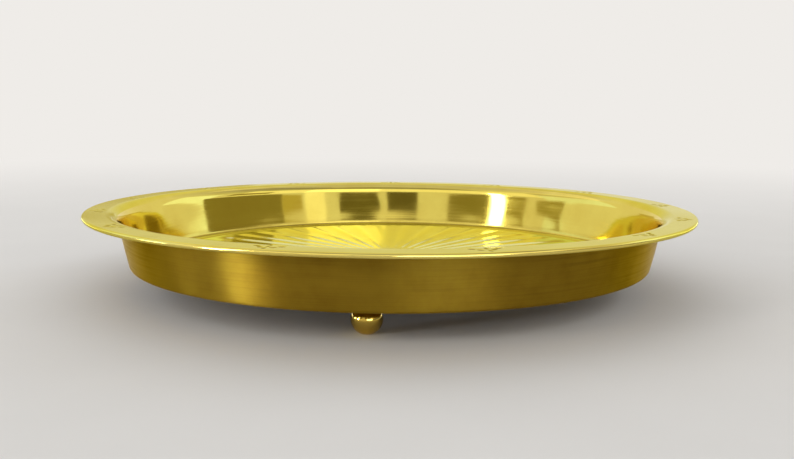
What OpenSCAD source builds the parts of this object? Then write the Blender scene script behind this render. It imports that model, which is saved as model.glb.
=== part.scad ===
// Round footed serving tray: a dish pressed and spun from brass sheet, its rim rolled over a wire,
// its floor pressed into a sunburst of flutes, on three turned ball feet held by rivets.

/* [Dish] */
// Diameter over the rolled rim
rim_d = 300; // [280:5:360]
// Height of the rim's top above the underside of the floor
dish_h = 26.4; // [22:0.2:34]
// Thickness of the brass sheet
sheet_t = 0.6; // [0.5:0.1:0.8]
// Width of the flat flange, from its bend to the outside of the rim
flange_w = 10.4; // [8:0.1:16]
// How far the wall leans outward between the centres of its two bends
wall_run = 12.05; // [10.5:0.05:14]
// Inside radius of the bend between floor and wall
base_bend_r = 1.4; // [1:0.1:3]
// Radius of the soft bend between wall and flange, on the underside
rim_bend_r = 6.2; // [5:0.2:9]
// Diameter of the wire that the rim is rolled over
wire_d = 0.6; // [0.5:0.1:1.2]
// Clearance between the wire and the sheet around it
wire_gap = 0.15; // [0.1:0.05:0.3]

/* [Pressed floor] */
// Plain border between the base bend and the ring bead
bead_inset = 6.5; // [5:0.5:9]
// Width of the ring bead
bead_w = 3; // [2.4:0.1:3.6]
// Height of the ring bead above the floor
bead_h = 0.6; // [0.4:0.1:0.8]
// Number of flutes; each foot sits midway between two of them
flute_n = 45; // [30:1:45]
// Width of a flute at its broad end
flute_w = 5; // [4:0.2:5.6]
// Height of a flute at its broad end
flute_h = 0.9; // [0.6:0.1:1]
// Plain gap between the ring bead and the flutes
flute_gap = 3; // [2:0.5:5]
// Length over which a flute runs out at its broad end
flute_run_out = 9; // [6:0.5:12]
// Diameter of the raised plain disc at the centre
disc_d = 49; // [40:1:60]
// Height of the centre disc above the floor
disc_rise = 0.8; // [0.5:0.1:1]

/* [Feet] */
// Height of the underside of the floor above the flats of the feet
foot_h = 13.6; // [13.2:0.2:18]
// Diameter of a ball foot
ball_d = 13.2; // [11.6:0.2:13.2]
// Diameter of the flat that a foot stands on
foot_flat_d = 5; // [4:0.2:6]
// Diameter of the neck between ball and floor
neck_d = 8; // [7:0.2:9]
// Distance of a foot's centre from the base bend
foot_inset = 22.5; // [20:0.5:28]
// Direction of the front foot, in degrees
foot_turn = -95; // [-120:1:-60]
// Turn from the front foot to the rear right foot, in degrees
rear_right_turn = 136; // [112:8:136]
// Turn from the front foot to the rear left foot, in degrees
rear_left_turn = 248; // [224:8:248]
// Diameter of the rivet that holds a foot
rivet_d = 3; // [2.4:0.1:3.4]
// Depth of the rivet's bore in the foot
rivet_bore = 7; // [5:0.5:8]

/* [Hidden] */
$fn = 144;
brass = "#d9c25f";
brass_wire = "#b98f3d";
brass_foot = "#c9a846";

// Heights above the flats of the feet
ball_r = ball_d / 2;
ball_z = sqrt(pow(ball_r, 2) - pow(foot_flat_d / 2, 2));
floor_z = foot_h;
floor_top = floor_z + sheet_t;
rim_z = floor_z + dish_h;

// Rolled rim: the sheet wraps the wire and its end stops short of the flange
roll_in = wire_d / 2 + wire_gap;
roll_out = roll_in + sheet_t;
roll_r = rim_d / 2 - roll_out;
roll_z = rim_z - roll_out;

// Bend centres, and the straight wall between them, sunk a hair into both bends so that they join
flange_r = rim_d / 2 - flange_w;
base_r = flange_r - wall_run;
rim_bend = [flange_r, rim_z - sheet_t - rim_bend_r];
base_bend = [base_r, floor_top + base_bend_r];
bend_span = rim_bend - base_bend;
wall_sink = 0.01;
bend_reach = base_bend_r + rim_bend_r + sheet_t - 2 * wall_sink;
wall_len = sqrt(pow(norm(bend_span), 2) - pow(bend_reach, 2));
wall_tilt = acos(bend_reach / norm(bend_span)) - atan2(bend_span.y, bend_span.x);

// Floor pressings
disc_edge = 2.5;
disc_r = disc_d / 2;
bead_r = base_r - bead_inset;
flute_in = disc_r - disc_edge / 2;
flute_out = bead_r - bead_w / 2 - flute_gap;
flute_taper = 0.2;
flute_pitch = 360 / flute_n;
flute_clear = 0.3;
foot_r = base_r - foot_inset;
foot_turns = [0, rear_right_turn, rear_left_turn];

// Radius of the circle whose cap is w wide and h high
function cap_r(w, h) = (pow(w / 2, 2) + pow(h, 2)) / (2 * h);
// Angle and length by which a bend and the wall run past where they would just touch
function lap(inner_r) = acos(1 - wall_sink / (inner_r + sheet_t / 2));
function lap_len(inner_r) = (inner_r + sheet_t / 2) * sin(lap(inner_r));
// Direction of foot i, kept between two flutes
function foot_dir(i) = foot_turn + flute_pitch * round(foot_turns[i] / flute_pitch);

// Sheet bent about the origin, from straight down to where the wall takes over
module bend(inner_r) {
    outer_r = inner_r + sheet_t;
    reach = 2 * outer_r;
    intersection() {
        difference() {
            circle(outer_r);
            circle(inner_r);
        }
        translate([0, -reach]) square([reach, 2 * reach]);
        rotate(lap(inner_r) - wall_tilt) translate([-reach, -reach]) square([2 * reach, reach]);
    }
}

// Ring bead in section, standing on the floor
module bead_section() {
    r = cap_r(bead_w, bead_h);
    intersection() {
        translate([bead_r, floor_top + bead_h - r]) circle(r);
        translate([bead_r - bead_w, floor_top - sheet_t / 2]) square([2 * bead_w, bead_h + sheet_t]);
    }
}

// The whole sheet in section, from the axis to the rolled rim
module dish_section() {
    difference() {
        union() {
            polygon([[0, floor_top + disc_rise], [disc_r - disc_edge, floor_top + disc_rise],
                [disc_r, floor_top], [base_r, floor_top], [base_r, floor_z], [disc_r, floor_z],
                [disc_r - disc_edge, floor_z + disc_rise], [0, floor_z + disc_rise]]);
            bead_section();
            translate(base_bend) bend(base_bend_r);
            translate(rim_bend) rotate(180) bend(rim_bend_r);
            translate(rim_bend) rotate(-wall_tilt)
                translate([wall_sink - rim_bend_r - sheet_t, -wall_len - lap_len(base_bend_r)])
                    square([sheet_t, lap_len(base_bend_r) + wall_len + lap_len(rim_bend_r)]);
            translate([flange_r, rim_z - sheet_t]) square([roll_r - flange_r, sheet_t]);
            translate([roll_r, roll_z]) difference() {
                circle(roll_out);
                circle(roll_in);
                translate([-2 * roll_out, 0]) square(2 * roll_out);
            }
        }
        translate([0, -sheet_t]) bead_section();
    }
}

// Rays of the sunburst: tapered round ribs, sunk so that only their caps stand above the floor
module flutes() {
    r = cap_r(flute_w, flute_h);
    depth = r - flute_h;
    run = flute_out - flute_in;
    drop = depth * (1 - flute_taper);
    top = floor_top + flute_h + flute_clear;
    bottom = floor_top - sheet_t / 2;
    intersection() {
        for (i = [0 : flute_n - 1]) {
            rotate(foot_turn + (i + 0.5) * flute_pitch)
                translate([flute_in, 0, floor_top - depth * flute_taper])
                    rotate([0, 90 + atan2(drop, run), 0])
                        cylinder(h = norm([run, drop]), r1 = r * flute_taper, r2 = r);
        }
        rotate_extrude()
            polygon([[flute_in - disc_edge, bottom], [flute_out, bottom],
                [flute_out - flute_run_out, top], [flute_in - disc_edge, top]]);
    }
}

module tray_body() {
    color(brass) difference() {
        union() {
            rotate_extrude() dish_section();
            flutes();
        }
        translate([0, 0, -sheet_t]) flutes();
        for (i = [0 : len(foot_turns) - 1]) {
            rotate(foot_dir(i))
                translate([foot_r, 0, floor_z - sheet_t])
                    cylinder(d = rivet_d, h = 3 * sheet_t);
        }
    }
}

// Wire inside the rolled rim
module rim_wire() {
    color(brass_wire) rotate_extrude() translate([roll_r, roll_z]) circle(d = wire_d);
}

// Turned ball foot, bored from above for its rivet
module foot(i) {
    color(brass_foot) rotate(foot_dir(i)) translate([foot_r, 0, 0]) difference() {
        union() {
            intersection() {
                translate([0, 0, ball_z]) sphere(ball_r);
                cylinder(r = ball_d, h = floor_z);
            }
            translate([0, 0, ball_z]) cylinder(d = neck_d, h = floor_z - ball_z);
        }
        translate([0, 0, floor_z - rivet_bore]) cylinder(d = rivet_d, h = rivet_bore + sheet_t);
    }
}

// Rivet through floor and foot, hammered over and ground flush with the floor
module rivet(i) {
    color(brass_foot) rotate(foot_dir(i))
        translate([foot_r, 0, floor_z - rivet_bore])
            cylinder(d = rivet_d, h = rivet_bore + sheet_t);
}

tray_body();
rim_wire();
foot(0);  // foot_front
foot(1);  // foot_rear_right
foot(2);  // foot_rear_left
rivet(0);  // rivet_front
rivet(1);  // rivet_rear_right
rivet(2);  // rivet_rear_left
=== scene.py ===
import math
import random

import bpy
import numpy as np
from mathutils import Matrix


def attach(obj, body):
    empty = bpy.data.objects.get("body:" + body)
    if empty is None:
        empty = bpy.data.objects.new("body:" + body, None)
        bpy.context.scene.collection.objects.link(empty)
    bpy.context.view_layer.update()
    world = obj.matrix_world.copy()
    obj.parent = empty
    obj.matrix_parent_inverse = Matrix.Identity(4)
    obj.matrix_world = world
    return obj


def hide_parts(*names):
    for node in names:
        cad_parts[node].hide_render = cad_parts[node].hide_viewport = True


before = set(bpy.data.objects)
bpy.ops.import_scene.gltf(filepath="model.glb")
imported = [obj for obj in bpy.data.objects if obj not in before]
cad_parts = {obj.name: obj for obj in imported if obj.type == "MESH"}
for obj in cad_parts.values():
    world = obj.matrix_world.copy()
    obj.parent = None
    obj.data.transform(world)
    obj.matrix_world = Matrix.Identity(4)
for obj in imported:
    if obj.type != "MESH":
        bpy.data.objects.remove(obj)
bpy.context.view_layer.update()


# The dish: one disc of brass sheet, spun over a former into floor, leaning wall and flat flange, and rolled
# over a wire at its edge. The sunburst, the ring bead and the centre disc are pressed into the floor, and
# small leaf sprigs are punched into the flange by hand. Sizes are in millimetres.
MM = 0.001
sheet = 0.6
rim_r = 150.0
rim_z = 40.0
floor_z = 13.6
floor_top = floor_z + sheet
flange_r = 139.6
wall_run = 12.05
base_bend_r = 1.4
rim_bend_r = 6.2
roll_in = 0.45
roll_out = roll_in + sheet

# centres of the roll and of the two bends in section, as distance from the axis and height
roll_c = (rim_r - roll_out, rim_z - roll_out)
base_c = (flange_r - wall_run, floor_top + base_bend_r)
rim_c = (flange_r, rim_z - sheet - rim_bend_r)
bend_span = (rim_c[0] - base_c[0], rim_c[1] - base_c[1])
bend_reach = base_bend_r + rim_bend_r + sheet
wall_tilt = math.acos(bend_reach / math.hypot(*bend_span)) - math.atan2(bend_span[1], bend_span[0])

disc_r = 24.5
disc_edge = 2.5
disc_rise = 0.8
bead_inset = 6.5
bead_r = base_c[0] - bead_inset
bead_half = 1.7
bead_rise = 0.6
flute_n = 45
flute_in = disc_r - disc_edge / 2.0
flute_gap = 4.5
flute_out = bead_r - flute_gap
flute_run_in = 4.0
flute_run_out = 9.0
flute_end_rise = 1.6
flute_rise = 0.9
flute_taper = 0.2
crest_power = 2.1

# each foot sits midway between two flutes, and the floor stays plain over its seat
foot_inset = 22.5
foot_r = base_c[0] - foot_inset
foot_turns = {"front": -95.0, "rear_right": 41.0, "rear_left": 153.0}
foot_places = {side: (foot_r * math.cos(math.radians(turn)), foot_r * math.sin(math.radians(turn)))
               for side, turn in foot_turns.items()}
flute_turn = math.radians(foot_turns["front"] + 180.0 / flute_n)
seat_r = 4.0
seat_edge = 4.0

# each punch mark of a sprig: distance from the axis, offset along the rim, half length, half width, turn
sprig_marks = [(145.8, 0.0, 1.6, 0.95, 0.0), (144.0, -2.7, 1.6, 1.0, 48.0), (144.0, 2.7, 1.6, 1.0, -48.0),
               (141.5, -5.0, 1.6, 1.0, 66.0), (141.5, 5.0, 1.6, 1.0, -66.0), (141.2, 0.0, 2.2, 0.7, 0.0)]
sprig_turns = [4, 34, 62, 90, 116, 141, 168, 192, 216, 252, 284, 316, 340]
sprig_reach = 3.0
mark_depth = 0.32
mark_roundness = 0.7
# share of a mark that shows on the underside
mark_through = 0.7
# how far the hand misses with a mark: its turn in degrees, its distance from the axis, its offset, its depth
turn_miss = 9.0
reach_miss = 0.35
offset_miss = 0.3
weak_hit = 0.8
hard_hit = 1.1

# how far handwork leaves the floor, the wall and the rim out of true, and how far the wall bows inwards
floor_dent = 0.035
dents_start_r = 30.0
dents_grow = 60.0
dents_end_r = 128.0
dents_fade = 12.0
wall_dent = 0.07
wall_bow = -0.15
bow_power = 1.2
rim_sway = 0.09
sway_half = 6.0

# how much brown film the hollows between flutes, the foot of the wall and the punch marks hold; in the punch
# marks it is also painted shade
flute_film = 0.35
film_start_r = 30.0
film_grow = 20.0
film_fade = 8.0
wall_film = 0.4
wall_film_share = 1.0 / 9.0
mark_film_and_painted_shade = 2.0
mark_film_depth = 0.26


def smooth(t):
    """0 below 0, 1 above 1, and an even ease between them."""
    t = np.clip(t, 0.0, 1.0)
    return t * t * (3.0 - 2.0 * t)


def hand_wave(angle, seed, orders):
    """The uneven line that handwork leaves around a round piece, within about -1 to 1."""
    draw = random.Random(seed)
    total = np.zeros_like(angle)
    for order in orders:
        total = total + draw.uniform(0.5, 1.0) * np.cos(order * angle + draw.uniform(0.0, 2.0 * math.pi))
    return total / math.sqrt(len(orders))


def lower_of(ridge, slope):
    """The lower of two heights, with a rounded edge where they cross."""
    nearly_zero = 1e-12
    return np.where(slope > 0.0, ridge * slope / (ridge ** 4 + slope ** 4 + nearly_zero) ** 0.25, 0.0)


def floor_relief(r, angle):
    """Height of the pressed floor above the plain sheet, in mm, and how much film each spot holds."""
    crest = (0.5 + 0.5 * np.cos(flute_n * (angle - flute_turn))) ** crest_power
    along = np.clip((r - flute_in) / (flute_out - flute_in), 0.0, 1.0)
    ridge = flute_rise * (flute_taper + (1.0 - flute_taper) * along) * crest
    ridge = lower_of(ridge, np.clip((flute_out - r) / flute_run_out, 0.0, None) * flute_end_rise)
    ridge = ridge * smooth((r - disc_r + disc_edge) / flute_run_in)
    seat = np.ones_like(angle)
    for foot_x, foot_y in foot_places.values():
        away = np.hypot(r * np.cos(angle) - foot_x, r * np.sin(angle) - foot_y)
        seat = seat * smooth((away - seat_r) / seat_edge)
    bead = bead_rise * smooth(1.0 - abs(r - bead_r) / (2.0 * bead_half)) ** 2
    disc = disc_rise * smooth((disc_r - r) / disc_edge)
    dents = floor_dent * hand_wave(angle, seed=3, orders=(2, 3, 5, 7))
    dents = dents * smooth((r - dents_start_r) / dents_grow) * smooth((dents_end_r - r) / dents_fade)
    fluted = smooth((r - film_start_r) / film_grow) * smooth((flute_out - r) / film_fade)
    return (ridge + dents) * seat + bead + disc, fluted * (1.0 - crest) * flute_film


def sprig_dents(r, angle):
    """Depth of the punched leaf sprigs on the flange, in mm."""
    draw = random.Random(21)
    depth = np.zeros_like(angle)
    for turn in sprig_turns:
        for mark_r, offset, half_long, half_wide, lean in sprig_marks:
            lean = math.radians(lean + draw.uniform(-turn_miss, turn_miss))
            mark_r = mark_r + draw.uniform(-reach_miss, reach_miss)
            offset = offset + draw.uniform(-offset_miss, offset_miss)
            hit = draw.uniform(weak_hit, hard_hit)
            off = (angle - math.radians(turn) + math.pi) % (2.0 * math.pi) - math.pi
            across = off * mark_r - offset
            out = r - mark_r
            u = out * math.cos(lean) + across * math.sin(lean)
            v = across * math.cos(lean) - out * math.sin(lean)
            near = np.clip(1.0 - (u / half_long) ** 2 - (v / half_wide) ** 2, 0.0, None)
            depth = np.maximum(depth, mark_depth * hit * near ** mark_roundness)
    return depth


def full_turn(step):
    """Angles once around in radians, a step in degrees apart."""
    return np.radians(np.arange(0.0, 360.0, step))


def turns_with_sprigs(step, fine_step):
    """Angles around the flange: even steps, and finer ones where a sprig is punched."""
    angles = set(np.round(np.arange(0.0, 360.0, step), 3))
    for turn in sprig_turns:
        fine = np.arange(turn - sprig_reach, turn + sprig_reach, fine_step)
        angles |= set(np.round(fine % 360.0, 3))
    return np.radians(np.array(sorted(angles)))


def arc(centre, radius, start, end, count):
    """Points along a bend seen in section, as distance from the axis and height, in mm."""
    turns = np.linspace(start, end, count)
    return [(centre[0] + radius * math.cos(t), centre[1] + radius * math.sin(t)) for t in turns]


def line(a, b, count):
    """Evenly spaced points from a to b, both ends left out."""
    shares = np.linspace(0.0, 1.0, count + 2)[1:-1]
    return [(a[0] + (b[0] - a[0]) * t, a[1] + (b[1] - a[1]) * t) for t in shares]


even_turns = full_turn(0.5)
flange_turns = turns_with_sprigs(step=0.5, fine_step=0.1)
# rings of the centre disc: distance from the axis and number of points
disc_counts = {1.5: 24, 5.0: 48, 10.0: 96, 16.0: 192, 20.0: 384}
disc_rings = [(r, full_turn(360.0 / count)) for r, count in disc_counts.items()]
# rings of the floor, closer together at the edge of the disc, at the ends of the flutes and across the bead
floor_radii = ([21.6] + list(np.linspace(22.0, 24.5, 8)) + list(np.arange(25.4, 104.0, 1.6))
               + list(np.arange(104.4, 117.6, 0.8)) + [118.4] + list(np.linspace(119.0, 123.2, 15))
               + [124.2, 125.4, 126.6])
flange_radii = list(np.arange(139.7, 148.8, 0.4))
under_radii = list(np.linspace(147.8, 140.2, 8))
bend_low = -wall_tilt
bend_high = math.pi - wall_tilt
up_turn = math.pi / 2.0

# rings along each bend, the wall, and the outside, the tucked end and the inside of the roll
low_steps = 9
wall_steps = 14
high_steps = 30
roll_steps = 19
tuck_steps = 9
hollow_steps = 12
outer_high_steps = 16
# the last rings of the upper bend have angles fine enough for the sprigs that reach into it
sprig_steps = 9

# the sheet in section, from the axis over the inside to the roll and back along the underside:
# each entry is the part of the dish that the ring belongs to, its place in section, and its angles
section = [("floor", (r, floor_top), turns) for r, turns in disc_rings]
section += [("floor", (r, floor_top), even_turns) for r in floor_radii]
inside_low = arc(base_c, base_bend_r, -up_turn, bend_low, low_steps)
inside_high = arc(rim_c, rim_bend_r + sheet, bend_high, up_turn, high_steps)
section += [("bend", p, even_turns) for p in inside_low]
section += [("wall", p, even_turns) for p in line(inside_low[-1], inside_high[0], wall_steps)]
section += [("bend", p, even_turns) for p in inside_high[:-sprig_steps]]
section += [("flange", p, flange_turns) for p in inside_high[-sprig_steps:]]
section += [("flange", (r, rim_z), flange_turns) for r in flange_radii]
section += [("roll", p, even_turns) for p in arc(roll_c, roll_out, up_turn, -up_turn, roll_steps)]
buffed_rings = len(section)
section += [("roll", p, even_turns) for p in arc(roll_c, roll_out, -up_turn, -math.pi, tuck_steps)[1:]]
section += [("roll", p, even_turns) for p in arc(roll_c, roll_in, -math.pi, up_turn, hollow_steps)]
section += [("flange", (r, rim_z - sheet), even_turns) for r in under_radii]
outside_high = arc(rim_c, rim_bend_r, up_turn, bend_high, outer_high_steps)
outside_low = arc(base_c, base_bend_r + sheet, bend_low, -up_turn, low_steps)
section += [("bend", p, even_turns) for p in outside_high]
section += [("wall", p, even_turns) for p in line(outside_high[-1], outside_low[0], wall_steps)]
section += [("bend", p, even_turns) for p in outside_low]
section += [("floor", (r, floor_z), even_turns) for r in reversed(floor_radii)]
section += [("floor", (r, floor_z), turns) for r, turns in reversed(disc_rings)]

# on the inside one finish gives way to the next a third of the way round each bend
floor_rings = len(disc_rings) + len(floor_radii) + low_steps // 3
wall_rings = len(disc_rings) + len(floor_radii) + low_steps + wall_steps + high_steps // 3


def dish_ring(part, place, angle):
    """One ring of the dish: its points in mm, and how much film each holds, which in the punch marks also
    paints their shade.
    """
    r, z = place
    film = np.zeros_like(angle)
    out = np.full_like(angle, r)
    up = np.full_like(angle, z)
    height = np.clip((z - base_c[1]) / (rim_c[1] - base_c[1]), 0.0, 1.0)
    if part == "floor":
        rise, film = floor_relief(r, angle)
        up = up + rise
    if part in ("wall", "bend"):
        bulge = math.sin(math.pi * height) ** bow_power
        dents = wall_dent * bulge * hand_wave(angle, seed=5, orders=(9, 13, 17, 22, 29))
        out = out - wall_bow * bulge + dents
        film = film + wall_film * (1.0 - smooth(height / wall_film_share))
    if part in ("flange", "roll") or (part == "bend" and height > 0.5):
        sway = smooth((r - flange_r + sway_half) / (2.0 * sway_half))
        up = up + rim_sway * sway * hand_wave(angle, seed=8, orders=(2, 3, 5, 8, 13))
    if part == "flange":
        dent = sprig_dents(r, angle)
        if z > rim_z - sheet / 2.0:
            up = up - dent
            # the film in a punch mark also paints the shade inside it
            film = film + mark_film_and_painted_shade * smooth(dent / mark_film_depth)
        else:
            up = up - mark_through * dent
    return np.stack([out * np.cos(angle), out * np.sin(angle), up], axis=1), film


def zip_rings(first, turns_a, second, turns_b):
    """Triangles between two rings that have different angles."""
    count_a, count_b = len(turns_a), len(turns_b)
    i = j = 0
    faces = []
    while i < count_a or j < count_b:
        next_a = turns_a[i + 1] if i + 1 < count_a else turns_a[0] + 2.0 * math.pi
        next_b = turns_b[j + 1] if j + 1 < count_b else turns_b[0] + 2.0 * math.pi
        a, b = first + i % count_a, second + j % count_b
        if j >= count_b or (i < count_a and next_a <= next_b):
            faces.append((a, b, first + (i + 1) % count_a))
            i += 1
        else:
            faces.append((a, b, second + (j + 1) % count_b))
            j += 1
    return faces


def spun_mesh(name, rings, turns_of, top, bottom):
    """A closed mesh from rings of points with one point at each end, and the rank of each face's ring."""
    points = [np.array([top])] + rings + [np.array([bottom])]
    starts = np.cumsum([0] + [len(p) for p in points])
    count = len(turns_of[0])
    faces = [(0, 1 + k, 1 + (k + 1) % count) for k in range(count)]
    rank = [0] * count
    for n in range(len(rings) - 1):
        first, second = int(starts[n + 1]), int(starts[n + 2])
        if turns_of[n] is turns_of[n + 1]:
            count = len(turns_of[n])
            pairs = [(k, (k + 1) % count) for k in range(count)]
            new = [(first + k, second + k, second + after, first + after) for k, after in pairs]
        else:
            new = zip_rings(first, turns_of[n], second, turns_of[n + 1])
        faces += new
        rank += [n + 1] * len(new)
    last, end = int(starts[-3]), int(starts[-2])
    count = len(turns_of[-1])
    faces += [(last + k, end, last + (k + 1) % count) for k in range(count)]
    rank += [len(rings)] * count
    mesh = bpy.data.meshes.new(name)
    mesh.from_pydata((np.concatenate(points) * MM).tolist(), [], faces)
    mesh.polygons.foreach_set("use_smooth", [True] * len(faces))
    return mesh, rank


made = [dish_ring(*entry) for entry in section]
dish_mesh, ring_rank = spun_mesh("dish", [points for points, film in made], [entry[2] for entry in section],
                                 (0.0, 0.0, floor_top + disc_rise), (0.0, 0.0, floor_z + disc_rise))
# finish of each face: 0 on the floor, 1 on the wall, 2 on flange and roll, 3 outside and underneath
finish_of = [sum(n > last for last in (floor_rings, wall_rings, buffed_rings)) for n in ring_rank]
dish_mesh.polygons.foreach_set("material_index", finish_of)
recess = dish_mesh.attributes.new("recess", "FLOAT", "POINT")
recess.data.foreach_set("value", np.concatenate([[0.0]] + [film for points, film in made] + [[0.0]]))


def linear(hex_colour):
    """An sRGB hex colour as the linear colour that shaders take."""
    parts = [int(hex_colour[i:i + 2], 16) / 255.0 for i in (1, 3, 5)]
    return [p / 12.92 if p <= 0.04045 else ((p + 0.055) / 1.055) ** 2.4 for p in parts] + [1.0]


def add(owner, kind, inputs=None, **settings):
    """Adds a node with its settings; an input, by name or number, takes a value or another node's output."""
    made_node = owner.node_tree.nodes.new(kind)
    for name, value in settings.items():
        setattr(made_node, name, value)
    for socket, value in (inputs or {}).items():
        if isinstance(value, bpy.types.NodeSocket):
            owner.node_tree.links.new(value, made_node.inputs[socket])
        else:
            made_node.inputs[socket].default_value = value
    return made_node


def bare_material(name):
    """A new material with no nodes yet."""
    material = bpy.data.materials.new(name)
    material.use_nodes = True
    material.node_tree.nodes.clear()
    return material


def tool_rings(brass, spacing, drift, detail):
    """Uneven rings about the dish's axis, spacing mm apart, that a tool leaves on a turning piece."""
    place = add(brass, "ShaderNodeTexCoord").outputs["Object"]
    flat = add(brass, "ShaderNodeVectorMath", {0: place, 1: (1.0, 1.0, 0.0)}, operation="MULTIPLY").outputs[0]
    reach = add(brass, "ShaderNodeVectorMath", {0: flat}, operation="LENGTH").outputs["Value"]
    heading = add(brass, "ShaderNodeVectorMath", {0: flat}, operation="NORMALIZE").outputs[0]
    height = add(brass, "ShaderNodeSeparateXYZ", {0: place}).outputs["Z"]
    across = add(brass, "ShaderNodeMath", {0: reach, 1: height}, operation="ADD").outputs[0]
    count = add(brass, "ShaderNodeMath", {0: across, 1: 1.0 / (spacing * MM)},
                operation="MULTIPLY").outputs[0]
    count_axis = add(brass, "ShaderNodeCombineXYZ", {2: count}).outputs[0]
    around = add(brass, "ShaderNodeVectorMath", {0: heading, 1: (drift, drift, 0.0)},
                 operation="MULTIPLY").outputs[0]
    ring_at = add(brass, "ShaderNodeVectorMath", {0: around, 1: count_axis}, operation="ADD").outputs[0]
    uneven = add(brass, "ShaderNodeTexNoise", {"Vector": ring_at, "Scale": 1.0, "Detail": detail})
    return uneven.outputs["Fac"]


def buffed_brass(name, light, dark, edge_on, haze):
    """Brass sheet off the buffing wheel: faint rings, cloudy polish, and a brown film in the recesses, which
    in the punch marks also paints their shade.
    """
    brass = bare_material(name)
    place = add(brass, "ShaderNodeTexCoord").outputs["Object"]
    # buffing rings are about 0.2 mm apart, drawn at 0.8 mm so that they show
    buff_rings = tool_rings(brass, spacing=0.8, drift=2.0, detail=3.0)
    # clouds of polish are about 28 mm wide, and specks in the film about 3 mm
    clouds = add(brass, "ShaderNodeTexNoise", {"Vector": place, "Scale": 1.0 / (28.0 * MM), "Detail": 4.0,
                                               "Roughness": 0.6}).outputs["Fac"]
    specks = add(brass, "ShaderNodeTexNoise", {"Vector": place, "Scale": 1.0 / (3.0 * MM), "Detail": 5.0,
                                               "Roughness": 0.7}).outputs["Fac"]
    film = add(brass, "ShaderNodeAttribute", attribute_name="recess").outputs["Fac"]
    cloud_share = add(brass, "ShaderNodeMapRange", {0: clouds, 1: 0.38, 2: 0.68, 3: 0.0, 4: 0.55}).outputs[0]
    bright = add(brass, "ShaderNodeMix", {0: cloud_share, 6: linear(light), 7: linear(dark)},
                 data_type="RGBA").outputs[2]
    # the brown film colour, which in the punch marks also stands for painted shade
    film_and_shade_share = add(brass, "ShaderNodeMath", {0: film, 1: specks}, operation="MULTIPLY").outputs[0]
    colour = add(brass, "ShaderNodeMix", {0: film_and_shade_share, 6: bright, 7: linear("#8F6E2B")},
                 data_type="RGBA").outputs[2]
    ring_rough = add(brass, "ShaderNodeMapRange", {0: buff_rings, 1: 0.3, 2: 0.7, 3: haze,
                                                   4: haze + 0.05}).outputs[0]
    film_rough = add(brass, "ShaderNodeMath", {0: film_and_shade_share, 1: 0.18, 2: ring_rough},
                     operation="MULTIPLY_ADD").outputs[0]
    rough = add(brass, "ShaderNodeMath", {0: cloud_share, 1: 0.08, 2: film_rough},
                operation="MULTIPLY_ADD").outputs[0]
    ring_bump = add(brass, "ShaderNodeBump", {"Height": buff_rings, "Strength": 0.10,
                                              "Distance": 0.05 * MM}).outputs[0]
    skin = add(brass, "ShaderNodeBsdfPrincipled", {"Base Color": colour, "Metallic": 1.0, "Roughness": rough,
                                                   "Normal": ring_bump, "Specular Tint": linear(edge_on)})
    add(brass, "ShaderNodeOutputMaterial", {"Surface": skin.outputs[0]})
    return brass


# Buffed brass on the pressed floor: a paler copy, nearly white seen edge on, whose paler colours and white
# tint are painted light.
painted_light_floor_brass = buffed_brass("floor_buffed_brass_painted_paler", "#E9DC98", "#DECB78", "#F6FFDE", haze=0.07)
# Buffed brass on the wall, which the wheel reaches best: a deep yellow mirror, pale only where seen edge on.
mirror = buffed_brass("mirror_buffed_brass", "#E0CB5E", "#D1B64B", "#FFF8DA", haze=0.04)
# Buffed brass on flange and roll: a yellow mirror that stays yellow seen edge on, a tint that paints shade on
# the flange.
buffed = buffed_brass("buffed_brass", "#E4CF6E", "#D5BA55", "#EBE8A4", haze=0.07)

# Spun satin brass: the tool's fine rings stretch each highlight upright. Its colours are browner and duller
# than the inside: partly tarnish from years of handling, and partly a painted dark reflection of a wooden
# table, darker than the pale floor it reflects here.
satin = bare_material("spun_satin_brass")
place = add(satin, "ShaderNodeTexCoord").outputs["Object"]
# spinning lines are about 0.3 mm apart, drawn at 0.7 mm so that they show; stains are about 22 mm wide
spin_lines = tool_rings(satin, spacing=0.7, drift=3.0, detail=4.0)
stains = add(satin, "ShaderNodeTexNoise", {"Vector": place, "Scale": 1.0 / (22.0 * MM), "Detail": 5.0,
                                           "Roughness": 0.62}).outputs["Fac"]
stain_share = add(satin, "ShaderNodeMapRange", {0: stains, 1: 0.36, 2: 0.66, 3: 0.0, 4: 0.7}).outputs[0]
# both stain colours are darkened by tarnish and by a painted dark reflection
wear_and_painted_dark_reflection = add(satin, "ShaderNodeMix", {0: stain_share, 6: linear("#997B23"), 7: linear("#806217")},
           data_type="RGBA").outputs[2]
line_share = add(satin, "ShaderNodeMapRange", {0: spin_lines, 1: 0.45, 2: 0.75, 3: 0.0, 4: 0.18}).outputs[0]
satin_colour = add(satin, "ShaderNodeMix", {0: line_share, 6: wear_and_painted_dark_reflection, 7: linear("#694E12")},
                   data_type="RGBA").outputs[2]
line_rough = add(satin, "ShaderNodeMapRange", {0: spin_lines, 1: 0.3, 2: 0.7, 3: 0.36, 4: 0.48}).outputs[0]
line_bump = add(satin, "ShaderNodeBump", {"Height": spin_lines, "Strength": 0.12,
                                          "Distance": 0.05 * MM}).outputs[0]
around = add(satin, "ShaderNodeTangent", direction_type="RADIAL", axis="Z").outputs[0]
satin_skin = add(satin, "ShaderNodeBsdfPrincipled", {"Base Color": satin_colour, "Metallic": 1.0,
                                                     "Roughness": line_rough, "Anisotropic": 0.95,
                                                     "Anisotropic Rotation": 0.25, "Tangent": around,
                                                     "Specular Tint": linear("#FFEAB0"),
                                                     "Normal": line_bump})
add(satin, "ShaderNodeOutputMaterial", {"Surface": satin_skin.outputs[0]})

for finish in (painted_light_floor_brass, mirror, buffed, satin):
    dish_mesh.materials.append(finish)
dish = bpy.data.objects.new("dish", dish_mesh)
bpy.context.scene.collection.objects.link(dish)
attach(dish, "root")
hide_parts("tray_body")


# The rim wire: a thin drawn brass wire that stiffens the rolled edge. It lies inside the roll and shows only
# along the narrow slit under the flange, where the end of the sheet stops short.
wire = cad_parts["rim_wire"]
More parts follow.
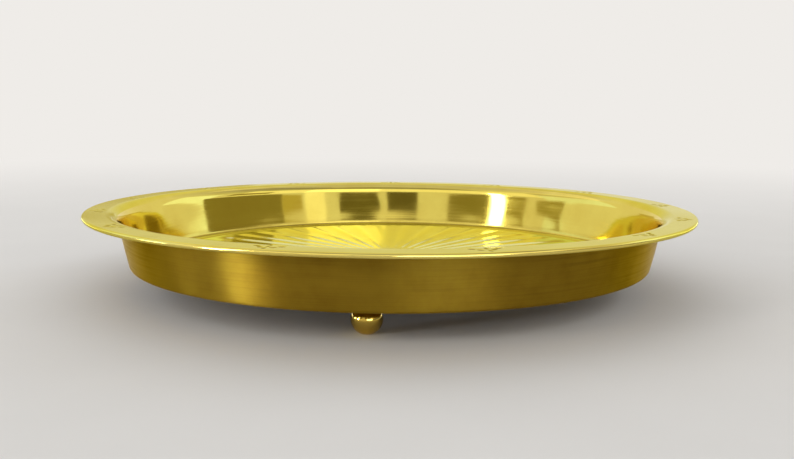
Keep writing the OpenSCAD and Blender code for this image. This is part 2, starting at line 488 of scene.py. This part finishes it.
# Drawn brass: dull gold, with cloudy brown patches about 6 mm long where the air has reached it.
drawn = bare_material("drawn_brass_wire")
place = add(drawn, "ShaderNodeTexCoord").outputs["Object"]
dulling = add(drawn, "ShaderNodeTexNoise", {"Vector": place, "Scale": 1.0 / (6.0 * MM),
                                            "Detail": 4.0}).outputs["Fac"]
drawn_colour = add(drawn, "ShaderNodeMix", {0: dulling, 6: linear("#B8924A"), 7: linear("#7F5F28")},
                   data_type="RGBA").outputs[2]
drawn_rough = add(drawn, "ShaderNodeMapRange", {0: dulling, 1: 0.3, 2: 0.7, 3: 0.35, 4: 0.55}).outputs[0]
drawn_skin = add(drawn, "ShaderNodeBsdfPrincipled", {"Base Color": drawn_colour, "Metallic": 1.0,
                                                     "Roughness": drawn_rough})
add(drawn, "ShaderNodeOutputMaterial", {"Surface": drawn_skin.outputs[0]})
wire.data.materials.clear()
wire.data.materials.append(drawn)


# The ball feet: three brass balls turned from bar with a short neck, bored from above and each held under the
# floor by a rivet. They stand on a small worn flat.
ball_r = 6.6
flat_r = 2.5
neck_r = 4.0
bore_r = 1.5
bore_depth = 7.0
bore_z = floor_z - bore_depth
ball_z = math.sqrt(ball_r ** 2 - flat_r ** 2)
brown_from_z = 10.8
brown_to_z = 13.0

# Turned brass: bright gold with fine lathe rings, duller in patches, and painted shade in brown on the top of
# the ball and the neck, under the floor.
turned = bare_material("turned_brass")
place = add(turned, "ShaderNodeTexCoord").outputs["Object"]
height = add(turned, "ShaderNodeSeparateXYZ", {0: place}).outputs["Z"]
# lathe rings are about 0.1 mm apart, drawn at 0.35 mm so that they show; dull patches are about 4 mm wide
lathe_count = add(turned, "ShaderNodeMath", {0: height, 1: 1.0 / (0.35 * MM)},
                  operation="MULTIPLY").outputs[0]
lathe_rings = add(turned, "ShaderNodeTexNoise", {"W": lathe_count, "Scale": 1.0, "Detail": 2.0},
                  noise_dimensions="1D").outputs["Fac"]
dulling = add(turned, "ShaderNodeTexNoise", {"Vector": place, "Scale": 1.0 / (4.0 * MM),
                                             "Detail": 4.0}).outputs["Fac"]
# painted shade: brown from brown_from_z up to brown_to_z, where the floor above shades the foot
painted_neck_shade = add(turned, "ShaderNodeMapRange", {0: height, 1: brown_from_z * MM, 2: brown_to_z * MM,
                                                3: 0.0, 4: 0.8}).outputs[0]
ball_colour = add(turned, "ShaderNodeMix", {0: dulling, 6: linear("#D8BA58"), 7: linear("#BE9A3E")},
                  data_type="RGBA").outputs[2]
turned_colour = add(turned, "ShaderNodeMix", {0: painted_neck_shade, 6: ball_colour, 7: linear("#8E6C2A")},
                    data_type="RGBA").outputs[2]
turned_rough = add(turned, "ShaderNodeMapRange", {0: dulling, 1: 0.3, 2: 0.7, 3: 0.05, 4: 0.12}).outputs[0]
lathe_bump = add(turned, "ShaderNodeBump", {"Height": lathe_rings, "Strength": 0.12,
                                            "Distance": 0.04 * MM}).outputs[0]
turned_skin = add(turned, "ShaderNodeBsdfPrincipled", {"Base Color": turned_colour, "Metallic": 1.0,
                                                       "Roughness": turned_rough, "Normal": lathe_bump})
add(turned, "ShaderNodeOutputMaterial", {"Surface": turned_skin.outputs[0]})


def turned_mesh(name, outline, centre, turns):
    """A closed mesh turned about an upright axis, from an outline of radius and height that ends below."""
    x, y = centre
    rings = [np.stack([x + r * np.cos(turns), y + r * np.sin(turns), np.full_like(turns, z)], axis=1)
             for r, z in outline]
    return spun_mesh(name, rings, [turns] * len(rings), (x, y, outline[0][1]), (x, y, outline[-1][1]))[0]


# the foot in section, from the flat up: the ball runs into the neck through a small hollow fillet
fillet_r = 0.9
fillet_c = (neck_r + fillet_r, ball_z + math.sqrt((ball_r + fillet_r) ** 2 - (neck_r + fillet_r) ** 2))
meet = math.atan2(fillet_c[1] - ball_z, fillet_c[0])
worn_edge_z = 0.12
foot_section = [(1.2, 0.0), (2.2, 0.0), (2.42, 0.03)]
foot_section += arc((0.0, ball_z), ball_r, -math.asin((ball_z - worn_edge_z) / ball_r), meet, 30)
foot_section += arc(fillet_c, fillet_r, math.pi + meet, math.pi, 7)[1:]
foot_section += [(neck_r, floor_z - 0.25), (neck_r - 0.08, floor_z - 0.06), (neck_r - 0.25, floor_z)]
foot_section += [(bore_r + 0.2, floor_z), (bore_r, floor_z - 0.2)]
foot_section += [(bore_r, bore_z + 0.1), (bore_r - 0.2, bore_z)]
foot_steps = full_turn(5.0)

for side, foot_place in foot_places.items():
    foot_mesh = turned_mesh("foot_" + side, foot_section[::-1], foot_place, foot_steps)
    foot_mesh.materials.append(turned)
    foot = bpy.data.objects.new("ball_foot_" + side, foot_mesh)
    bpy.context.scene.collection.objects.link(foot)
    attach(foot, "root")
    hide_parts("foot_" + side)


# The rivets: a brass rivet holds each foot. It goes through the floor into the foot's bore, and on the inside
# it was hammered over and ground flush, so that only a faint ring shows around it.
shank_r = 1.48
edge_rise = 0.04

# Ground brass: as bright as the floor around it, with fine grinding marks and a dark ring of old polish.
ground = bare_material("ground_brass")
place = add(ground, "ShaderNodeTexCoord").outputs["Object"]
# grinding marks are about 0.05 mm wide, drawn at 0.3 mm and ten times as long so that they show
stretch = add(ground, "ShaderNodeVectorMath", {0: place, 1: (1.0, 0.1, 0.1)}, operation="MULTIPLY").outputs[0]
grinding = add(ground, "ShaderNodeTexNoise", {"Vector": stretch, "Scale": 1.0 / (0.3 * MM),
                                              "Detail": 3.0}).outputs["Fac"]
height = add(ground, "ShaderNodeSeparateXYZ", {0: place}).outputs["Z"]
edge_share = add(ground, "ShaderNodeMapRange", {0: height, 1: floor_top * MM, 2: (floor_top + edge_rise) * MM,
                                                3: 0.9, 4: 0.0}).outputs[0]
pin_colour = add(ground, "ShaderNodeMix", {0: grinding, 6: linear("#ECDC98"), 7: linear("#D8C06A")},
                 data_type="RGBA").outputs[2]
ground_colour = add(ground, "ShaderNodeMix", {0: edge_share, 6: pin_colour, 7: linear("#7C5C22")},
                    data_type="RGBA").outputs[2]
ground_rough = add(ground, "ShaderNodeMapRange", {0: grinding, 1: 0.3, 2: 0.7, 3: 0.14, 4: 0.26}).outputs[0]
ground_skin = add(ground, "ShaderNodeBsdfPrincipled", {"Base Color": ground_colour, "Metallic": 1.0,
                                                       "Roughness": ground_rough})
add(ground, "ShaderNodeOutputMaterial", {"Surface": ground_skin.outputs[0]})

# the ground end in section, as radius and height above the floor, and then the shank down into the bore
ground_end = [(0.5, 0.06), (1.0, 0.06), (1.3, 0.055), (1.42, edge_rise), (shank_r, 0.01), (shank_r, -0.3)]
rivet_section = [(r, floor_top + rise) for r, rise in ground_end]
rivet_section += [(shank_r, bore_z + 0.4), (shank_r - 0.2, bore_z + 0.2)]
rivet_steps = full_turn(7.5)

for side, foot_place in foot_places.items():
    rivet_mesh = turned_mesh("rivet_" + side, rivet_section, foot_place, rivet_steps)
    rivet_mesh.materials.append(ground)
    rivet = bpy.data.objects.new("flush_rivet_" + side, rivet_mesh)
    bpy.context.scene.collection.objects.link(rivet)
    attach(rivet, "root")
    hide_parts("rivet_" + side)


# The studio: a plain pale paper floor under one large soft light, in a white room. Polished metal looks like
# metal only with something to reflect, so soft boxes, daylight panels, darker straw-coloured cards and two
# strip lights stand around it. Sizes and places are in metres.
floor_half = 4.0
floor_drop = -0.05 * MM
floor_mesh = bpy.data.meshes.new("studio_floor")
floor_mesh.from_pydata([(-floor_half, -floor_half, floor_drop), (floor_half, -floor_half, floor_drop),
                        (floor_half, floor_half, floor_drop), (-floor_half, floor_half, floor_drop)],
                       [], [(0, 1, 2, 3)])

# Matt paper: pale, with barely visible clouds of fibre about 60 mm wide.
paper = bare_material("matt_paper")
place = add(paper, "ShaderNodeTexCoord").outputs["Object"]
fibres = add(paper, "ShaderNodeTexNoise", {"Vector": place, "Scale": 1.0 / (60.0 * MM),
                                           "Detail": 3.0}).outputs["Fac"]
paper_colour = add(paper, "ShaderNodeMix", {0: fibres, 6: linear("#D6D2CC"), 7: linear("#DBD7D1")},
                   data_type="RGBA").outputs[2]
paper_skin = add(paper, "ShaderNodeBsdfPrincipled", {"Base Color": paper_colour, "Roughness": 0.9,
                                                     "Specular IOR Level": 0.2})
# far from the tray the paper runs into the pale backdrop without a line
backdrop_colour = "#EFECE8"
fade_from = 0.2
fade_to = 1.2
far_light = add(paper, "ShaderNodeEmission", {"Color": linear(backdrop_colour), "Strength": 1.0}).outputs[0]
distance = add(paper, "ShaderNodeVectorMath", {0: place}, operation="LENGTH").outputs["Value"]
far_share = add(paper, "ShaderNodeMapRange", {0: distance, 1: fade_from, 2: fade_to},
                interpolation_type="SMOOTHSTEP").outputs[0]
seen = add(paper, "ShaderNodeLightPath").outputs["Is Camera Ray"]
fade = add(paper, "ShaderNodeMath", {0: far_share, 1: seen}, operation="MULTIPLY").outputs[0]
faded = add(paper, "ShaderNodeMixShader", {0: fade, 1: paper_skin.outputs[0], 2: far_light}).outputs[0]
add(paper, "ShaderNodeOutputMaterial", {"Surface": faded})
floor_mesh.materials.append(paper)
studio_floor = bpy.data.objects.new("studio_floor", floor_mesh)
bpy.context.scene.collection.objects.link(studio_floor)

light_x, light_y, light_z = -0.4, 0.5, 2.2
soft_light = bpy.data.lights.new("overhead_soft_light", "AREA")
soft_light.shape = "RECTANGLE"
soft_light.size = 2.6
soft_light.size_y = 2.6
soft_light.energy = 8.0
overhead = bpy.data.objects.new("overhead_soft_light", soft_light)
overhead.location = (light_x, light_y, light_z)
overhead.rotation_euler = (-math.atan2(light_y, light_z), math.atan2(light_x, light_z), 0.0)
bpy.context.scene.collection.objects.link(overhead)

# panels around the room: first and last direction in degrees from the front, leftwards, lowest and highest in
# degrees above the floor, and brightness; a later panel stands before an earlier one
soft_boxes = [(-88.0, 88.0, 21.0, 48.0, 1.3), (-46.0, -6.0, 21.0, 48.0, 2.0)]
side_windows = [(84.0, 132.0, 11.0, 36.0, 1.6), (-132.0, -100.0, 9.0, 36.0, 1.9)]
low_bands = [(-40.0, -2.0, 0.0, 7.0, 11.0), (57.5, 65.5, 0.0, 7.0, 76.0), (82.0, 95.0, 0.0, 6.0, 12.0),
             (98.0, 117.0, 0.0, 5.0, 0.3), (124.0, 150.0, 0.0, 2.2, 6.0), (-115.0, -44.0, 0.0, 6.0, 0.3),
             (-150.0, -124.0, 0.0, 2.2, 6.0)]
cards = [(-103.0, -57.0, 7.0, 16.8, 0.3), (-57.0, -46.5, 8.0, 16.0, 0.6), (-26.5, -7.0, 8.0, 18.6, 0.16),
         (-2.0, 14.0, 8.0, 19.2, 0.15), (30.5, 51.5, 8.0, 17.6, 0.3), (61.0, 72.5, 8.0, 15.4, 0.42),
         (78.0, 95.0, 9.0, 12.4, 0.42), (-92.0, -66.0, 24.0, 36.0, 0.45), (152.0, 171.0, 2.0, 6.9, 0.66)]
strip_lights = [(-45.0, -34.5, 8.0, 24.0, 1.35), (53.0, 60.5, 8.0, 30.0, 12.0)]
white, straw, daylight = linear("#FFFFFF"), linear("#FFF0A0"), linear("#D4E3FA")
groups = [(soft_boxes, white), (side_windows, daylight), (low_bands, daylight), (cards, straw),
          (strip_lights, white)]
panel_edge = math.radians(0.5)

# the room's own light, which dims from the top of its walls to its ceiling
wall_level = 0.95
wall_top = math.radians(35.0)
ceiling_level = 0.35
ceiling_start = math.radians(65.0)

room = bpy.data.worlds.new("white_room")
bpy.context.scene.world = room
room.use_nodes = True
room.node_tree.nodes.clear()
towards = add(room, "ShaderNodeTexCoord").outputs["Generated"]
facing = add(room, "ShaderNodeSeparateXYZ", {0: towards}).outputs
left = add(room, "ShaderNodeMath", {0: facing["X"], 1: -1.0}, operation="MULTIPLY").outputs[0]
ahead = add(room, "ShaderNodeMath", {0: facing["Y"], 1: -1.0}, operation="MULTIPLY").outputs[0]
bearing = add(room, "ShaderNodeMath", {0: left, 1: ahead}, operation="ARCTAN2").outputs[0]
climb = add(room, "ShaderNodeMath", {0: facing["Z"]}, operation="ARCSINE").outputs[0]


def window(angle, first, last):
    """1 between two angles in degrees and 0 elsewhere, with soft edges."""
    first, last = math.radians(first), math.radians(last)
    rise = add(room, "ShaderNodeMapRange", {0: angle, 1: first - panel_edge, 2: first + panel_edge},
               interpolation_type="SMOOTHSTEP").outputs[0]
    fall = add(room, "ShaderNodeMapRange", {0: angle, 1: last - panel_edge, 2: last + panel_edge,
                                            3: 1.0, 4: 0.0}, interpolation_type="SMOOTHSTEP").outputs[0]
    return add(room, "ShaderNodeMath", {0: rise, 1: fall}, operation="MULTIPLY").outputs[0]


lit = add(room, "ShaderNodeMapRange", {0: climb, 1: wall_top, 2: ceiling_start, 3: wall_level,
                                       4: ceiling_level}).outputs[0]
tint = white
for group, colour in groups:
    for first, last, low, high, level in group:
        inside = add(room, "ShaderNodeMath", {0: window(bearing, first, last), 1: window(climb, low, high)},
                     operation="MULTIPLY").outputs[0]
        lit = add(room, "ShaderNodeMix", {0: inside, 2: lit, 3: level}).outputs[0]
        tint = add(room, "ShaderNodeMix", {0: inside, 6: tint, 7: colour}, data_type="RGBA").outputs[2]
room_light = add(room, "ShaderNodeBackground", {"Color": tint, "Strength": lit}).outputs[0]
backdrop = add(room, "ShaderNodeBackground", {"Color": linear(backdrop_colour), "Strength": 1.0}).outputs[0]
seen = add(room, "ShaderNodeLightPath").outputs["Is Camera Ray"]
either = add(room, "ShaderNodeMixShader", {0: seen, 1: room_light, 2: backdrop}).outputs[0]
add(room, "ShaderNodeOutputWorld", {"Surface": either})

# the camera stands close and a little above the rim, and looks slightly down
image_width = 794.0
focal_px = 870.0
camera_place = (0.0, -0.445, 0.0894)
pitch, yaw, roll = math.radians(90.0 - 7.9), math.radians(-0.44), math.radians(0.45)
view = bpy.data.cameras.new("view")
view.sensor_fit = "HORIZONTAL"
view.sensor_width = 36.0
view.lens = view.sensor_width * focal_px / image_width
view.clip_start = 0.01
camera = bpy.data.objects.new("view", view)
bpy.context.scene.collection.objects.link(camera)
aim = Matrix.Rotation(yaw, 4, "Z") @ Matrix.Rotation(pitch, 4, "X") @ Matrix.Rotation(roll, 4, "Z")
camera.matrix_world = Matrix.Translation(camera_place) @ aim
bpy.context.scene.camera = camera
bpy.context.scene.view_settings.view_transform = "Standard"

bpy.context.view_layer.update()
